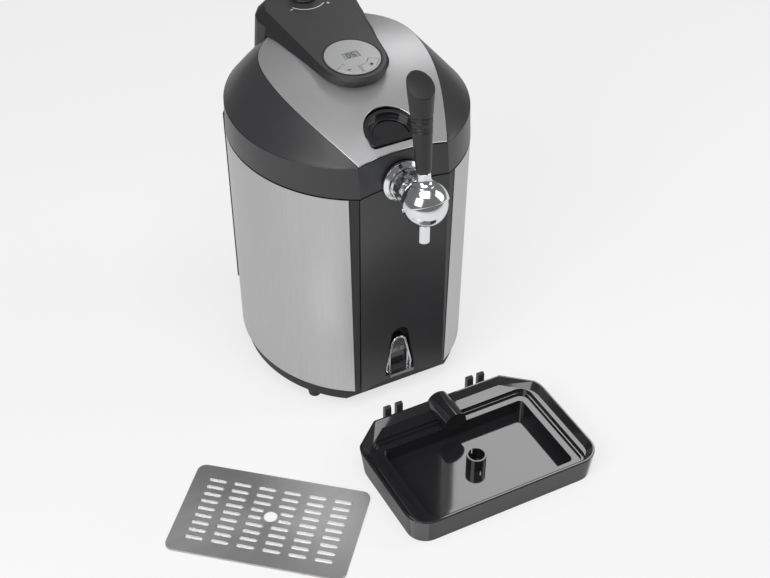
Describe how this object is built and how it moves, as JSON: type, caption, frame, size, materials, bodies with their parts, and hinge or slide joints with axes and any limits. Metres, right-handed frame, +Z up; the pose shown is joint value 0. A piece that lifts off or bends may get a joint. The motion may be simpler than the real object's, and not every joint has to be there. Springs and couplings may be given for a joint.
{
  "type": "mini keg beer dispenser",
  "caption": "Cooled dispenser for a five litre keg: steel-clad body, domed lid with console and pressure knob, ball tap with long handle, wall bottle opener, drip tray and grate.",
  "frame": {"origin": "on the surface it stands on, under the middle of the body", "axes": "+X to the right seen from the front, +Y towards the back, +Z up; the tap points along -Y"},
  "size_m": [0.4733, 0.519, 0.4548],
  "materials": {
    "black_plastic": "fine matt",
    "dark_satin": "satin",
    "console_grey": "satin",
    "silver_paint": "satin silver paint",
    "steel_sheet": "brushed",
    "chrome_parts": "polished",
    "stainless_bright": "turned",
    "well_aluminium": "anodised clear",
    "gloss_black": "gloss inside, satin outside",
    "handle_black": "satin",
    "rubber_black": "matt",
    "brass_parts": "turned",
    "white_foam": "rough foam",
    "liner_plastic": "satin",
    "lcd_glass": "clear window over a grey-green display",
    "circuit_board": "solder mask",
    "ceramic_white": "unglazed"
  },
  "bodies": {
    "housing": {"base": "black_plastic", "feet": "rubber_black", "inner_housing": "black_plastic", "steel_wrap_left": "steel_sheet", "steel_wrap_right": "steel_sheet", "front_panel": "dark_satin", "corner_trim": "black_plastic", "rear_skirt": "black_plastic", "top_deck": "black_plastic", "keg_well": "well_aluminium", "foam_jacket": "white_foam", "cold_block": "well_aluminium", "peltier_module": "ceramic_white", "heat_sink": "well_aluminium", "fan_frame": "black_plastic", "rear_cover": "black_plastic", "cover_screws": "stainless_bright", "power_board": "circuit_board", "power_inlet": "black_plastic", "hinge_brackets": "black_plastic", "hinge_pin": "stainless_bright", "tap_flange": "chrome_parts", "tap_collar": "chrome_parts", "tap_body": "chrome_parts", "tap_nut": "brass_parts", "tap_spout": "chrome_parts", "tap_pivot": "chrome_parts", "bottle_opener": "chrome_parts", "opener_screws": "stainless_bright"},
    "lid": {"lid_rim": "dark_satin", "lid_dome": "dark_satin", "lid_top_panel": "silver_paint", "lid_liner": "liner_plastic", "lid_foam": "white_foam", "lid_seal": "rubber_black", "console": "console_grey", "display_bezel": "silver_paint", "display_window": "lcd_glass", "display_board": "circuit_board", "pressure_regulator": "brass_parts", "gas_cartridge": "stainless_bright", "cartridge_holder": "black_plastic", "latch_bezel": "gloss_black", "hinge_leaf": "black_plastic"},
    "minus": {"minus_button": "silver_paint"},
    "plus": {"plus_button": "silver_paint"},
    "knob": {"pressure_knob": "handle_black"},
    "latch": {"latch_button": "gloss_black"},
    "lever": {"tap_cap": "chrome_parts", "tap_handle": "handle_black"},
    "valve_stem": {"tap_stem": "stainless_bright"},
    "fan": {"fan_rotor": "black_plastic"},
    "tray": {"drip_tray": "gloss_black"},
    "grate": {"drip_grate": "steel_sheet"}
  },
  "joints": [
    {"name": "lid_hinge", "type": "hinge", "parent": "housing", "child": "lid", "pos_m": [0, 0.157, 0.313], "axis": [-1, 0, 0], "range_deg": [0, 95]},
    {"name": "minus_press", "type": "slide", "parent": "lid", "child": "minus", "axis": [0, 0.1184, -0.993], "range_m": [0, 0.001], "stiffness_N_per_m": 400},
    {"name": "plus_press", "type": "slide", "parent": "lid", "child": "plus", "axis": [0, 0.1184, -0.993], "range_m": [0, 0.001], "stiffness_N_per_m": 400},
    {"name": "knob_turn", "type": "hinge", "parent": "lid", "child": "knob", "pos_m": [0, 0.1088, 0.41386], "axis": [0, -0.1184, 0.993], "range_deg": [0, 270]},
    {"name": "latch_press", "type": "slide", "parent": "lid", "child": "latch", "axis": [0, 0.2756, -0.9613], "range_m": [0, 0.003], "stiffness_N_per_m": 500},
    {"name": "tap_lever", "type": "hinge", "parent": "housing", "child": "lever", "pos_m": [0, -0.1803, 0.3104], "axis": [1, 0, 0], "range_deg": [0, 40]},
    {"name": "stem_slide", "type": "slide", "parent": "housing", "child": "valve_stem", "axis": [0, -1, 0], "range_m": [0, 0.0045]},
    {"name": "fan_spin", "type": "hinge", "parent": "housing", "child": "fan", "pos_m": [0, 0.13, 0.19], "axis": [0, 1, 0], "continuous": true},
    {"name": "tray_slide", "type": "slide", "parent": "housing", "child": "tray", "axis": [0, 1, 0], "range_m": [0, 0.042]},
    {"name": "grate_lift", "type": "slide", "parent": "housing", "child": "grate", "axis": [0, 0, 1], "range_m": [0, 0.15]}
  ],
  "couplings": [
    {"joint": "stem_slide", "follows": "tap_lever", "m_per_rad": 0.0057}
  ]
}
